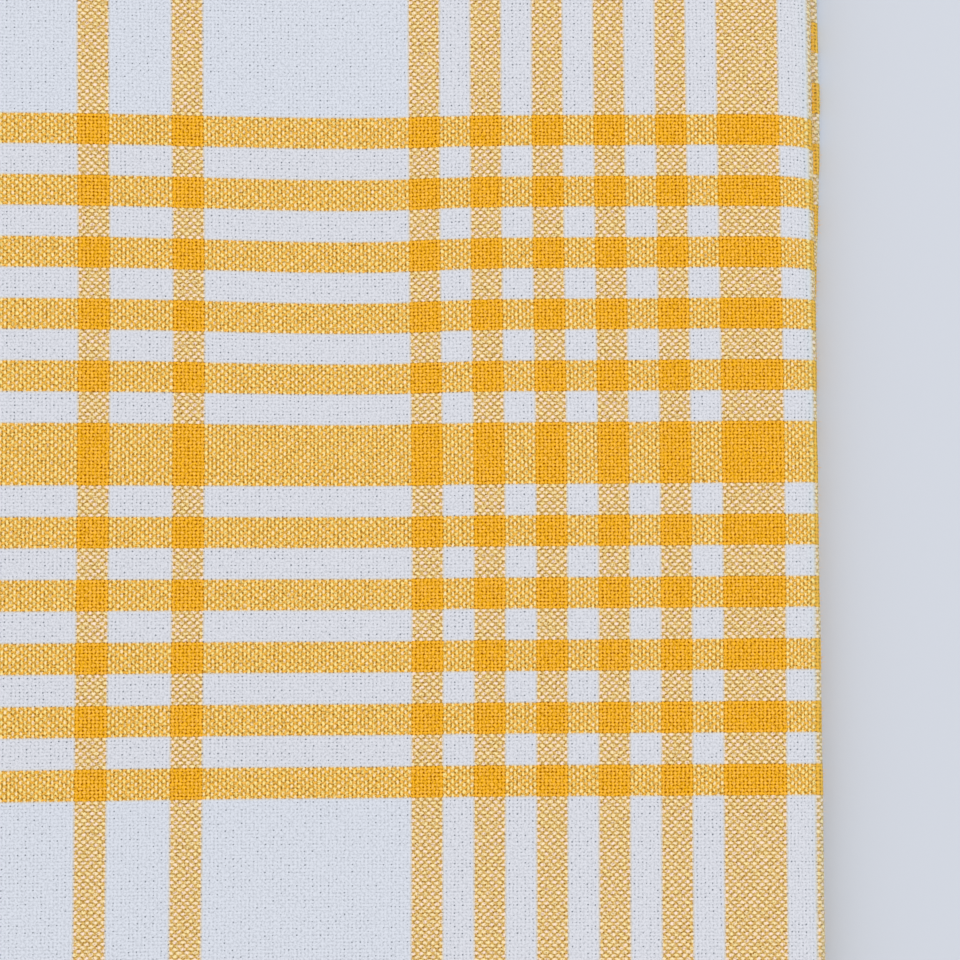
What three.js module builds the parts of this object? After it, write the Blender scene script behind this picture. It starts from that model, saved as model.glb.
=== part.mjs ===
// A cotton tablecloth in a plain yellow and white check, folded by hand.
//
// The cloth is one hemmed sheet. It is folded back and forth into four layers,
// like a letter, with its three folds running along Y: the top layer turns
// under at the right, comes back out at the left, and turns under once more at
// the right. Both hemmed ends lie at the left, a little short of the fold there.
// The layers lie a little apart, swell where they turn, and creep towards +Y
// from the top down, because nobody folds quite square.
//
// Millimetres, +Z up. The origin is at the middle of the underside's box.

import * as THREE from 'three';

// ---------------------------------------------------------------- dimensions

const CLOTH_WIDTH = 340; // hem to hem, along the folds
const CLOTH_THICKNESS = 1.0;
const PACKET_WIDTH = 242.7; // between the outermost lines of the left and right folds
const SWELL_LENGTH = 30; // how far in from a fold the layers are spread by it

// Height of the middle of the cloth in each layer: where it lies flat, and at
// the left and the right side, where the folds spread it.
const LAYERS = [
  { name: 'top', flat: 4.7, left: 5.1, right: 5.5 },
  { name: 'second', flat: 3.3, left: 3.7, right: 3.7 },
  { name: 'third', flat: 1.9, left: 1.9, right: 2.3 },
  { name: 'bottom', flat: 0.5, left: 0.5, right: 0.5 },
];

// The lines where the layers begin, turn and end, in order along the cloth.
// inset is the distance in from the packet's side, and creep is how far the
// cloth has slid towards +Y by the time it gets there.
const LINES = [
  { name: 'topHem', side: -1, inset: 7.4, creep: 0 },
  { name: 'upperFold', side: 1, inset: 0, creep: 0 },
  { name: 'leftFold', side: -1, inset: 0, creep: 6 },
  { name: 'lowerFold', side: 1, inset: 0, creep: 13.5 },
  { name: 'bottomHem', side: -1, inset: 5.4, creep: 18 },
];

// How far each of those lines strays to the right of its straight course, at
// places along the folds.
const STRAYS = [
  { along: -178, topHem: 1.1, upperFold: -0.2, leftFold: 1.6, lowerFold: -2.4, bottomHem: 0.4 },
  { along: -120, topHem: 0.4, upperFold: 0.1, leftFold: 1.1, lowerFold: -1.5, bottomHem: 1.0 },
  { along: -45, topHem: -0.5, upperFold: 0.0, leftFold: 0.2, lowerFold: 0.2, bottomHem: 1.5 },
  { along: 0, topHem: -0.3, upperFold: -0.5, leftFold: -0.4, lowerFold: 0.75, bottomHem: 0.9 },
  { along: 60, topHem: 0.5, upperFold: -1.1, leftFold: -0.6, lowerFold: 0.9, bottomHem: -0.2 },
  { along: 120, topHem: 0.9, upperFold: -0.7, leftFold: -1.2, lowerFold: 0.3, bottomHem: -1.1 },
  { along: 190, topHem: 0.2, upperFold: -0.9, leftFold: -2.3, lowerFold: 0.6, bottomHem: -1.6 },
];

// Slow rises and dips of the whole pile, as shares of the height at a point.
const SWELLS = [
  { share: 0.035, lengthX: 210, lengthY: 290, startX: 40, startY: 25 },
  { share: 0.02, lengthX: 95, lengthY: 150, startX: 10, startY: 60 },
];

// Cells of the faceted cloth, along the cloth's length and along its folds.
const STEPS_PER_LAYER = 12;
const STEPS_PER_FOLD = 8;
const STEPS = LAYERS.length * STEPS_PER_LAYER + (LAYERS.length - 1) * STEPS_PER_FOLD;
const STEPS_ALONG = 20;
const NUDGE = 0.01; // share of a step, for measuring a slope

// ------------------------------------------------------------------- folding

const { lerp, smoothstep } = THREE.MathUtils;

/** How far a named line strays at a place along the folds, eased from row to row of STRAYS. */
function stray(name, along) {
  const last = STRAYS.length - 2;
  const row = STRAYS.findIndex((from, i) => i === last || along < STRAYS[i + 1].along);
  const [from, to] = [STRAYS[row], STRAYS[row + 1]];
  return lerp(from[name], to[name], smoothstep(along, from.along, to.along));
}

/** Where a line of the cloth runs at a place along the folds. */
function lineX(line, along) {
  return line.side * (PACKET_WIDTH / 2 - line.inset) + stray(line.name, along);
}

/** The height of the middle of a layer, above x. */
function layerHeight(layer, x) {
  const fromLeft = x + PACKET_WIDTH / 2;
  const fromRight = PACKET_WIDTH / 2 - x;
  const leftShare = 1 - smoothstep(fromLeft, 0, SWELL_LENGTH);
  const rightShare = 1 - smoothstep(fromRight, 0, SWELL_LENGTH);
  return layer.flat + (layer.left - layer.flat) * leftShare + (layer.right - layer.flat) * rightShare;
}

/** Half the height that a fold spans: the radius of its round edge. */
function foldRadius(upper, side) {
  const at = side > 0 ? 'right' : 'left';
  return (LAYERS[upper][at] - LAYERS[upper + 1][at]) / 2;
}

/** Where the layers' flat stretches meet a line: at the hem itself, or a radius short of a fold. */
function stretchEnd(lineIndex, along) {
  const line = LINES[lineIndex];
  const isHem = lineIndex === 0 || lineIndex === LAYERS.length;
  const radius = isHem ? 0 : foldRadius(lineIndex - 1, line.side);
  return lineX(line, along) - line.side * radius;
}

/** A point of a layer's middle, at a share of its length, eased so that steps are short near folds. */
function layerPoint(index, share, along) {
  const eased = (1 - Math.cos(Math.PI * share)) / 2;
  const x = lerp(stretchEnd(index, along), stretchEnd(index + 1, along), eased);
  return {
    x,
    z: layerHeight(LAYERS[index], x),
    creep: lerp(LINES[index].creep, LINES[index + 1].creep, eased),
  };
}

/** A point of the round edge where one layer turns into the next, at a share of the half turn. */
function foldPoint(upper, share, along) {
  const line = LINES[upper + 1];
  const radius = foldRadius(upper, line.side);
  const start = layerPoint(upper, 1, along);
  const angle = Math.PI * share;
  return {
    x: start.x + line.side * radius * Math.sin(angle),
    z: start.z - radius * (1 - Math.cos(angle)),
    creep: line.creep,
  };
}

/** The middle of the cloth, at a step counted from the top hem through every layer and fold. */
function clothPoint(step, along) {
  const pair = STEPS_PER_LAYER + STEPS_PER_FOLD;
  const index = Math.min(Math.floor(step / pair), LAYERS.length - 1);
  const within = step - index * pair;
  return within <= STEPS_PER_LAYER
    ? layerPoint(index, within / STEPS_PER_LAYER, along)
    : foldPoint(index, (within - STEPS_PER_LAYER) / STEPS_PER_FOLD, along);
}

/** The rise or dip of the pile, as a share of height, above a point. */
function swell(x, y) {
  const waves = SWELLS.map(
    (wave) =>
      wave.share *
      Math.sin((2 * Math.PI * (x + wave.startX)) / wave.lengthX) *
      Math.cos((2 * Math.PI * (y + wave.startY)) / wave.lengthY),
  );
  return waves.reduce((sum, wave) => sum + wave, 0);
}

/** Where a point of the flat cloth goes in the folded pile. off is its distance from the cloth's middle. */
function fold(step, across, off) {
  const along = across + clothPoint(step, across).creep;
  const here = clothPoint(step, along);
  const before = clothPoint(Math.max(step - NUDGE, 0), along);
  const after = clothPoint(Math.min(step + NUDGE, STEPS), along);
  const slope = new THREE.Vector2(after.x - before.x, after.z - before.z).normalize();
  const x = here.x - slope.y * off;
  const z = here.z + slope.x * off;
  return new THREE.Vector3(x, along, z * (1 + swell(x, along)));
}

// --------------------------------------------------------------------- cloth

/** The flat cloth as a thin box of many cells, folded cell corner by cell corner. */
function foldedCloth() {
  const cloth = new THREE.BoxGeometry(STEPS, CLOTH_WIDTH, CLOTH_THICKNESS, STEPS, STEPS_ALONG, 1);
  const corners = cloth.getAttribute('position');
  for (let i = 0; i < corners.count; i += 1) {
    const step = Math.round(corners.getX(i) + STEPS / 2);
    const place = fold(step, corners.getY(i), corners.getZ(i));
    corners.setXYZ(i, place.x, place.y, place.z);
  }
  cloth.computeBoundingBox();
  const middle = cloth.boundingBox.getCenter(new THREE.Vector3());
  cloth.translate(-middle.x, -middle.y, -cloth.boundingBox.min.z);
  cloth.computeVertexNormals();
  return cloth;
}

const cotton = new THREE.MeshStandardMaterial({ color: '#e6c987', roughness: 0.95, metalness: 0 });

const group = new THREE.Group();
const tablecloth = new THREE.Mesh(foldedCloth(), cotton);
tablecloth.name = 'tablecloth';
group.add(tablecloth);

export default group;
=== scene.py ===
# %% [markdown]
# # A folded check tablecloth
#
# The real thing is one sheet of plain-woven cotton, hemmed all round and folded back and
# forth into four layers. This lesson builds it in steps: the folded sheet, its hems and
# stitching, the count of its threads, the weave, and then the table, the light and the view.
#
# Everything is in metres, in the frame that the imported model brings. We load that first,
# and keep its box, to place our own sheet where the imported one stood.

# %% Load the frame
import math
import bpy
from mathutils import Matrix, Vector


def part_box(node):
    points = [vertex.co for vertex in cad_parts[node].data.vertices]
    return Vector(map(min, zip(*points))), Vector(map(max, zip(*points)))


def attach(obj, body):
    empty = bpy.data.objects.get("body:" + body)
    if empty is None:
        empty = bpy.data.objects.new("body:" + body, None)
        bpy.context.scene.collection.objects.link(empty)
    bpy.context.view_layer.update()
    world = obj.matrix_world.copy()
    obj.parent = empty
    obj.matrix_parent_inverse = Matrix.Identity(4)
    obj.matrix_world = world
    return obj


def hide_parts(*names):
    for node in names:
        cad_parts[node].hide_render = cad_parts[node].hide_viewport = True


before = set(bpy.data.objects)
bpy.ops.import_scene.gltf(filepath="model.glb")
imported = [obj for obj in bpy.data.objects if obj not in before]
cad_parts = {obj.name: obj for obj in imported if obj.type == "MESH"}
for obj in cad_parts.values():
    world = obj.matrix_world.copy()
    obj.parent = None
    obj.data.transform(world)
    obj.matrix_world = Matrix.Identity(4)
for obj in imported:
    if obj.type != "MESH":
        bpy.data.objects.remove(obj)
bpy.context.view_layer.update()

from types import SimpleNamespace

import bpy
import numpy as np
from mathutils import Matrix, Vector

MM = 0.001
cad_low, cad_high = (np.array(corner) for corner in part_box("tablecloth"))
print("packed tablecloth, mm:", np.round((cad_high - cad_low) / MM, 1))

# %% [markdown]
# ## Sizes of the cloth and its folds
#
# A few driving sizes and short tables hold the whole shape. Each layer has a height where
# it lies flat, and heights at the left and right, where the folds spread the pile.
# The lines are where a layer begins, turns or ends: two hems at the left, three folds.
# Nobody folds quite square, so the cloth creeps towards +Y as it goes down the pile, and
# each line strays a little from straight.

# %% Driving sizes
CLOTH_WIDTH = 340 * MM  # hem to hem, along the folds
CLOTH_THICKNESS = 0.6 * MM
PACKET_WIDTH = 242.7 * MM  # between the outermost lines of the left and right folds
SWELL_LENGTH = 30 * MM  # how far in from a fold the layers are spread by it

HEM_WIDTH = 9 * MM
HEM_BULK = 0.5 * MM  # what the turned-in edge adds on the wrong side
HEM_STEP = 0.12 * MM  # width of the step at the hem's inner edge
STITCH_LINE = 7.5 * MM  # from the cloth's edge
STITCH_SINK = 0.1 * MM  # how deep the thread pulls the cloth in
STITCH_GROOVE = 0.55 * MM  # how far from the thread that dent fades
PUCKER = 0.05 * MM  # height of the small waves beside the stitching
PUCKER_REACH = 5 * MM
PUCKER_SHORT, PUCKER_LONG = 1.3 * MM, 2.1 * MM

WOBBLE = 0.05 * MM  # a fine unevenness of every line
WOBBLE_SHORT, WOBBLE_LONG = 2.3 * MM, 7.1 * MM
FAR_HEMS = (138 * MM, 160 * MM)  # where a layer rises on to the side hems below it
NEAR_HEMS = (118 * MM, 140 * MM)
HEM_SWAY = 0.35 * MM  # how far the side hems wave in and out
SWAY_FROM = 140 * MM  # from the middle of the cloth
SWAY_SHORT, SWAY_LONG = 15 * MM, 37 * MM
print(f"the cloth is {CLOTH_WIDTH / MM:.0f} mm wide and {CLOTH_THICKNESS / MM:.1f} mm thick")

# %% Tables of the layers, the lines and how far they stray, in millimetres
#   flat, left, right, rise over the hems
LAYERS = [
    (4.5, 4.9, 5.3, 0.60),  # top, face up
    (3.1, 3.5, 3.5, 0.15),  # second, face down
    (1.7, 1.7, 2.1, 0.45),  # third, face up
    (0.3, 0.3, 0.3, 0.0),  # bottom, face down on the table
]
#   side, inset from the side, creep towards +Y
LINES = [
    (-1, 7.4, 0),  # top hem
    (1, 0, 0),  # upper fold
    (-1, 0, 6),  # left fold
    (1, 0, 13.5),  # lower fold
    (-1, 5.4, 18),  # bottom hem
]
#   along, then the five lines in the same order
STRAYS = np.array([
    (-178, 1.1, -0.2, 1.6, -2.4, 0.4),
    (-120, 0.4, 0.0, 1.1, -1.5, 1.0),
    (-45, -0.5, -0.2, 0.2, 0.1, 1.5),
    (-13, -0.4, -0.35, -0.3, 1.0, 1.1),
    (0, -0.3, -0.4, -0.4, 0.8, 0.9),
    (60, 0.5, -1.1, -0.6, 0.9, -0.2),
    (120, 0.9, -0.7, -1.2, 0.3, -1.1),
    (190, 0.2, -0.9, -2.3, 0.6, -1.6),
])
#   share of the height, length in X, length in Y, start in X, start in Y
SWELLS = [
    (0.035, 210, 290, 40, 25),
    (0.020, 95, 150, 10, 60),
    (0.010, 41, 73, 0, 15),
    (0.006, 67, 31, 20, 0),
]
print(f"{len(LAYERS)} layers between {len(LINES)} lines")

# %% [markdown]
# ## The folded section
#
# We could fold a flat sheet with a cloth simulation, but the pile is pressed flat and the
# places of its folds are known, so a formula is truer and quicker. The middle of the cloth
# is a surface of two parameters: a share of the way along each layer or fold, and a place
# across. Layers run between two lines at the layer's height, and a fold is a half circle
# that joins two layers. We work on whole numpy arrays, one block of rows for each of them.

# %% Small helpers for easing and for reading the tables
def smoothstep(value, low, high):
    """0 below low, 1 above high, and an even S between them."""
    share = np.clip((value - low) / (high - low), 0, 1)
    return share * share * (3 - 2 * share)


def bell(value, place, width):
    """1 at a place, and down evenly on both sides of it: exp(-((value - place) / width)^2)."""
    return np.exp(-(((value - place) / width) ** 2))


def unit(vectors):
    """Vectors at length one."""
    return vectors / np.linalg.norm(vectors, axis=-1, keepdims=True)


def stray(line, along):
    """How far a line strays to the right at each place, eased from row to row of STRAYS."""
    rows = STRAYS[:, 0] * MM
    low = np.clip(np.searchsorted(rows, along) - 1, 0, len(rows) - 2)
    share = smoothstep(along, rows[low], rows[low + 1])
    values = STRAYS[:, 1 + line] * MM
    wobble = WOBBLE * np.sin(along / WOBBLE_SHORT + 2 * line) * np.sin(along / WOBBLE_LONG + line)
    return values[low] + share * (values[low + 1] - values[low]) + wobble


def line_x(line, along):
    """Where a line of the cloth runs, at each place along the folds."""
    side, inset, _ = LINES[line]
    return side * (PACKET_WIDTH / 2 - inset * MM) + stray(line, along)


def layer_height(layer, x, along):
    """Middle height of a layer: flat, eased up or down near the sides and over the hems."""
    flat, left, right, rise = (value * MM for value in LAYERS[layer])
    near_left = 1 - smoothstep(x + PACKET_WIDTH / 2, 0, SWELL_LENGTH)
    near_right = 1 - smoothstep(PACKET_WIDTH / 2 - x, 0, SWELL_LENGTH)
    over_hems = smoothstep(along, *FAR_HEMS) + smoothstep(-along, *NEAR_HEMS)
    return flat + (left - flat) * near_left + (right - flat) * near_right + rise * over_hems


print("heights of the layers in the middle, mm:", [row[0] for row in LAYERS])


# %% Radius of a fold, and where a layer ends
def fold_radius(fold, along):
    """Half the height between the two layers that a fold joins, at its side of the pile."""
    x = LINES[fold][0] * PACKET_WIDTH / 2
    return (layer_height(fold - 1, x, along) - layer_height(fold, x, along)) / 2


def stretch_end(line, along):
    """Where a layer's stretch meets a line: at a hem, or a radius short of a fold."""
    is_fold = 0 < line < len(LAYERS)
    radius = fold_radius(line, along) if is_fold else 0
    return line_x(line, along) - LINES[line][0] * radius


# %% Layers and folds as blocks of rows
def layer_rows(layer, shares, across):
    """Middle points of a layer: x goes from one line to the next in step with the share."""
    share = shares[:, None]
    creep = (LINES[layer][2] + share * (LINES[layer + 1][2] - LINES[layer][2])) * MM
    along = across + creep
    start = stretch_end(layer, along)
    x = start + share * (stretch_end(layer + 1, along) - start)
    return np.stack([x, along, layer_height(layer, x, along)], -1)


def fold_rows(fold, shares, across):
    """Middle points of a fold: a half circle in XZ, from the upper layer to the lower."""
    angle = np.pi * shares[:, None]
    side, _, creep = LINES[fold]
    along = across + creep * MM + 0 * angle
    start = stretch_end(fold, along)
    upper = layer_height(fold - 1, start, along)
    lower = layer_height(fold, start, along)
    x = start + side * fold_radius(fold, along) * np.sin(angle)
    z = upper - (upper - lower) * (1 - np.cos(angle)) / 2
    return np.stack([x, along, z], -1)


# %% Slow waves of the pile and of the side hems
def settle(points):
    """Slow rises and dips: height above the bottom layer times a sum of sine products."""
    x, along, z = np.moveaxis(points, -1, 0)
    wave = np.zeros_like(z)
    for share, length_x, length_y, start_x, start_y in SWELLS:
        across_wave = np.sin(2 * np.pi * (x / MM + start_x) / length_x)
        wave += share * across_wave * np.cos(2 * np.pi * (along / MM + start_y) / length_y)
    bottom = LAYERS[-1][0] * MM
    return np.stack([x, along, bottom + (z - bottom) * (1 + wave)], -1)


def hem_sway(run_by, across):
    """How far the side hems stray in Y, as two slow sines of the run along the cloth.

    Each side has its own start, and the sway fades away towards the middle."""
    side = np.sign(across)
    near = smoothstep(np.abs(across), SWAY_FROM, CLOTH_WIDTH / 2)
    wave = np.sin(run_by / SWAY_SHORT + side) + 0.8 * np.sin(run_by / SWAY_LONG + 2 * side)
    return HEM_SWAY * near * wave


radii = [fold_radius(fold, 0) / MM for fold in (1, 2, 3)]
print("radii of the folds half way along them, mm:", np.round(radii, 2))


# %% [markdown]
# ## Where the grid needs its lines
#
# A grid spends its lines where the shape turns quickly: over the rounded edge, beside the
# stitching, at the step of the hem's inner edge and round the folds. Elsewhere 4 or 5 mm
# is fine enough, because the pile only swells slowly.

# %% Stations across the cloth and along it
NEAR_EDGE = np.array([
    0, 0.03, 0.09, 0.18, 0.3, 0.42, 0.55, 0.9, 1.8, 3.2, 4.8, 6.0,
    6.7, 7.1, 7.3, 7.5, 7.7, 7.9, 8.3, 8.76, 8.88, 8.94, 9.0, 9.4, 10.5,
]) * MM
MIDDLE_STEPS = 74
LAYER_STEPS = 46
FOLD_STEPS = 16


def between(start, end, steps):
    """Even places between two values, without the ends."""
    return np.linspace(start, end, steps + 1)[1:-1]


edge_to_edge = np.concatenate([
    NEAR_EDGE,
    between(NEAR_EDGE[-1], CLOTH_WIDTH - NEAR_EDGE[-1], MIDDLE_STEPS),
    CLOTH_WIDTH - NEAR_EDGE[::-1],
])
across = edge_to_edge - CLOTH_WIDTH / 2

layer_length = PACKET_WIDTH - 7 * MM  # from a hem to a fold, near enough for shares
eased = np.sin(np.pi / 2 * np.linspace(0, 1, LAYER_STEPS)[1:])
from_hem = np.concatenate([NEAR_EDGE, NEAR_EDGE[-1] + (layer_length - NEAR_EDGE[-1]) * eased])
hem_shares = from_hem / layer_length
even_shares = (1 - np.cos(np.pi * np.linspace(0, 1, LAYER_STEPS + 6))) / 2
fold_shares = between(0, 1, FOLD_STEPS)

blocks = [
    layer_rows(0, hem_shares, across),
    fold_rows(1, fold_shares, across),
    layer_rows(1, even_shares, across),
    fold_rows(2, fold_shares, across),
    layer_rows(2, even_shares, across),
    fold_rows(3, fold_shares, across),
    layer_rows(3, 1 - hem_shares[::-1], across),
]
middle = settle(np.concatenate(blocks))
rows, columns = middle.shape[:2]
steps = np.linalg.norm(np.diff(middle, axis=0), axis=-1)
run = np.concatenate([np.zeros((1, columns)), np.cumsum(steps, axis=0)])
middle[..., 1] += hem_sway(run, across)

# %% [markdown]
# ## Face, back and hems
#
# The hem is the same cloth turned in twice, so it isn't a piece of its own: the back of the
# sheet is simply pushed out where the distance to the nearest edge is less than the hem's
# width. Solidify could give one even thickness, but not that. At the edge itself both sides
# close on one another in a half ellipse and share their outermost points, which leaves the
# sheet one closed skin. A shallow groove marks where the stitching pulls the layers in.

# %% Distance to the nearest edge, and the offsets of face and back
from_side = np.minimum(edge_to_edge, CLOTH_WIDTH - edge_to_edge)
from_end = np.full(rows, CLOTH_WIDTH)
from_end[: len(from_hem)] = from_hem
from_end[rows - len(from_hem):] = from_hem[::-1]
from_edge = np.minimum(from_end[:, None], from_side[None, :])


def skins(distance):
    """Offsets of face and back from the middle surface, by the distance to the edge."""
    half = CLOTH_THICKNESS / 2
    turned_in = 1 - smoothstep(distance, HEM_WIDTH - HEM_STEP, HEM_WIDTH)
    groove = STITCH_SINK * bell(distance, STITCH_LINE, STITCH_GROOVE)
    face = half - groove
    back = -half - HEM_BULK * turned_in + groove
    reach = (CLOTH_THICKNESS + HEM_BULK) / 2
    rounding = np.sqrt(1 - (1 - np.clip(distance / reach, 0, 1)) ** 2)
    centre, spread = (face + back) / 2, (face - back) / 2
    return centre + spread * rounding, centre - spread * rounding


def puckers(distance, run_by, phase):
    """Small waves beside the stitching: always outwards, strongest on the stitch line."""
    near = bell(distance, STITCH_LINE, PUCKER_REACH)
    wave = np.sin(run_by / PUCKER_SHORT + phase) + np.sin(run_by / PUCKER_LONG + 2 * phase)
    return PUCKER * near * (1 + wave / 2)


middle[..., 2] += puckers(from_side[None, :], run, 0.4) + puckers(from_end[:, None], across, 1.1)
normal = unit(np.cross(np.gradient(middle, axis=0), np.gradient(middle, axis=1)))
face_offset, back_offset = skins(from_edge)
face = middle + face_offset[..., None] * normal
back = middle + back_offset[..., None] * normal
print(f"thickest at the hems: {np.max(face_offset - back_offset) / MM:.2f} mm")

# %% [markdown]
# The formulas have their own origin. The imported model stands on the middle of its
# underside, so we move our sheet to the same place, and keep the shift for the camera.

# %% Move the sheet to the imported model's place
every_point = np.concatenate([face.reshape(-1, 3), back.reshape(-1, 3)])
low, high = every_point.min(0), every_point.max(0)
shift = (cad_low + cad_high) / 2 - (low + high) / 2
shift[2] = cad_low[2] - low[2]
face, back = face + shift, back + shift
print("shift to the packed model, mm:", np.round(shift / MM, 2))
print("our cloth, mm:", np.round((high - low) / MM, 1))

# %% [markdown]
# ## Counting threads
#
# A woven check isn't printed on: its stripes are yarns of another colour. So the sheet's UV
# map counts threads. U is the number of the end, which runs along the folds, and V is the
# number of the pick, which runs across them. The stripes then lie where the yarns lie, and
# bend with them where the cloth was pulled out of square. Over the hems the count runs
# backwards on the back, because that is the same cloth turned over its own edge.

# %% Thread spacing and the pull of the cloth
END_SPACING = 0.5377 * MM
END_AT_FOLD = 16  # count of the end that lies just inside the upper fold
END_INSIDE = 0.93 * MM  # how far inside it that end lies
END_STRETCH = 0.024  # how much further apart the ends lie where the top layer was pulled
STRETCH_IN = (40 * MM, 100 * MM)  # where that stretch comes in, from the upper fold
STRETCH_OUT = (130 * MM, 220 * MM)
END_PACKED = 0.09  # how much closer the ends lie where the cloth turns over the fold
PACKED_WITHIN = (3.4 * MM, 4.4 * MM)
PICK_SPACING = 0.4806 * MM
BAND_CENTRE = -62.57 * MM  # where the middle of the check's band of picks lies

# %% How the hands that folded it pulled the picks, in millimetres
#   depth, reach inwards, along the fold from, to
FOLD_DIPS = [
    (0.85, 2.2, -62, -22),
    (0.30, 9.0, -85, -10),
]
#   inside the fold, half width towards the fold, half width beyond
HUMP_INSIDE, HUMP_NEAR, HUMP_BEYOND = 63, 11, 24
HUMP_DEPTH, HUMP_PEAK = 0.14, 0.48  # everywhere along the fold, and more at one place
HUMP_PLACE, HUMP_LENGTH = -36, 22
SPREAD, SPREAD_PLACE, SPREAD_LENGTH = 0.0165, -74.6, 60
SPREAD_IN, SPREAD_OUT = (65, 122), (150, 235)


def pulled(inward, along):
    """How far the picks are pulled towards +Y, at a distance from the upper fold.

    The sum of two dips on the fold itself, a hump towards -Y that is steep on the fold's side
    and a spread of the picks away from the band's middle, which comes in and fades again."""
    y = along / MM
    d = inward / MM
    dip = sum(-depth * np.exp(-d / reach) * smoothstep(y, *span) for depth, reach, *span in FOLD_DIPS)
    half_width = np.where(d < HUMP_INSIDE, HUMP_NEAR, HUMP_BEYOND)
    depth = HUMP_DEPTH + HUMP_PEAK * bell(y, HUMP_PLACE, HUMP_LENGTH)
    hump = -depth * bell(d, HUMP_INSIDE, half_width)
    spread = SPREAD * SPREAD_LENGTH * np.tanh((y - SPREAD_PLACE) / SPREAD_LENGTH)
    spread = spread * smoothstep(d, *SPREAD_IN) * (1 - smoothstep(d, *SPREAD_OUT))
    return (dip + hump + spread) * MM


# %% Counting the ends, and how they were pulled, in millimetres
BOW, BOW_PLACE, BOW_LENGTH = 0.33, -66, 45  # a bow away from the fold
PINCH, PINCH_PLACE, PINCH_LENGTH = 0.33, -38, 24
PINCH_IN, PINCH_NEAR = (48, 92), (20, 48)


def ends_within(distance):
    """Ends between the fold and a place inside it: one over their spacing, summed up."""
    places = np.linspace(-2 * MM, PACKET_WIDTH, 500)
    stretch = smoothstep(places, *STRETCH_IN) - smoothstep(places, *STRETCH_OUT)
    packed = 1 - smoothstep(places, *PACKED_WITHIN)
    density = 1 / (END_SPACING * (1 + END_STRETCH * stretch - END_PACKED * packed))
    counted = np.cumsum(density) * (places[1] - places[0])
    return np.interp(distance, places, counted) - np.interp(0, places, counted)


def end_count():
    """The end's number: nearly straight ends on the top layer, then the run of the cloth."""
    top_rows = len(hem_shares)
    x, along, _ = np.moveaxis(middle[:top_rows], -1, 0)
    inside = PACKET_WIDTH / 2 - x
    bow = BOW * bell(along / MM, BOW_PLACE, BOW_LENGTH)
    pinch = PINCH * bell(along / MM, PINCH_PLACE, PINCH_LENGTH)
    pinch = pinch * (smoothstep(inside / MM, *PINCH_IN) - smoothstep(inside / MM, *PINCH_NEAR) / 2)
    on_top = END_AT_FOLD - ends_within(inside + (bow + pinch) * MM - END_INSIDE)
    beyond = run[top_rows:] - run[top_rows - 1]
    return np.concatenate([on_top, on_top[-1] + beyond / END_SPACING])


# %% The counts on the face and on the back
ends = end_count()
upper_fold_row = len(hem_shares) + FOLD_STEPS // 2
inward = np.abs(run - run[upper_fold_row])
picks = (across - pulled(inward, across) - BAND_CENTRE) / PICK_SPACING


def turned_over(count, distance, edge_count):
    """Inside the hem the count runs back again from its value at the edge."""
    return np.where(distance < HEM_WIDTH - HEM_STEP / 2, 2 * edge_count - count, count)


near_start = np.arange(rows)[:, None] < rows / 2
near_low = np.arange(columns)[None, :] < columns / 2
back_ends = turned_over(ends, from_end[:, None], np.where(near_start, ends[:1], ends[-1:]))
back_picks = turned_over(picks, from_side[None, :], np.where(near_low, picks[:, :1], picks[:, -1:]))
print(f"{np.ptp(ends):.0f} ends and {np.ptp(picks):.0f} picks")

# %% [markdown]
# ## Wear, and painted shade on the folds
#
# Where cloth is folded in the same place again and again, its outermost yarns are rubbed and
# grow hairy. We keep that as one number for each point of the sheet, which the material will
# read: 1 on the middle of a fold, and next to nothing 2.5 mm along the cloth from it. The
# material also paints shade and a little sheen of the fold's turned side by this number.

# %% Wear, and painted shade and sheen, on the folds
WEAR_AND_SHADE_REACH = 1.25 * MM  # along the cloth, from the middle of a fold; the reach of the wear and the painted shade
fold_starts = np.cumsum([len(block) for block in blocks])[:-1:2] - 1
from_fold = np.min([np.abs(run - run[row]) for row in fold_starts + FOLD_STEPS // 2], axis=0)
# where the folds get their haze and painted shade and sheen: 1 on the middle of a fold
wear_and_painted_shade = bell(from_fold, 0, WEAR_AND_SHADE_REACH)
print(f"{np.mean(wear_and_painted_shade > 0.5):.0%} of the rows of points lie on the rubbed part of a fold")

# %% [markdown]
# ## From grids to a mesh
#
# `from_pydata` would do, but `foreach_set` takes whole arrays and is much quicker. Each
# side of the sheet is a grid of four-cornered faces; the back's are wound the other way
# round, so that they face outwards too.

# %% Mesh helpers
def grid_faces(ids, inside_out=False):
    """Four-cornered faces of a grid of vertex numbers, wound one way or the other."""
    corners = np.stack([ids[:-1, :-1], ids[1:, :-1], ids[1:, 1:], ids[:-1, 1:]], -1).reshape(-1, 4)
    return corners[:, ::-1] if inside_out else corners


def placed(name, data):
    """A new object in the scene, made of the data."""
    made = bpy.data.objects.new(name, data)
    bpy.context.scene.collection.objects.link(made)
    return made


def mesh_object(name, points, faces, uv_name, uv):
    """A smooth-shaded object at the origin. uv holds one pair for each face corner."""
    mesh = bpy.data.meshes.new(name)
    mesh.vertices.add(len(points))
    mesh.vertices.foreach_set("co", points.astype(np.float32).ravel())
    mesh.loops.add(faces.size)
    mesh.loops.foreach_set("vertex_index", faces.astype(np.int32).ravel())
    mesh.polygons.add(len(faces))
    mesh.polygons.foreach_set("loop_start", np.arange(0, faces.size, 4, dtype=np.int32))
    layer = mesh.uv_layers.new(name=uv_name)
    layer.uv.foreach_set("vector", uv.astype(np.float32).ravel())
    mesh.shade_smooth()
    mesh.update(calc_edges=True)
    mesh.validate()
    print(f"{name}: {len(points)} points, {2 * len(faces)} triangles")
    return placed(name, mesh)


# %% The tablecloth's sheet
face_ids = np.arange(rows * columns).reshape(rows, columns)
back_ids = face_ids.copy()
inner = back_ids[1:-1, 1:-1]
back_ids[1:-1, 1:-1] = rows * columns + np.arange(inner.size).reshape(inner.shape)
points = np.concatenate([face.reshape(-1, 3), back[1:-1, 1:-1].reshape(-1, 3)])

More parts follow.
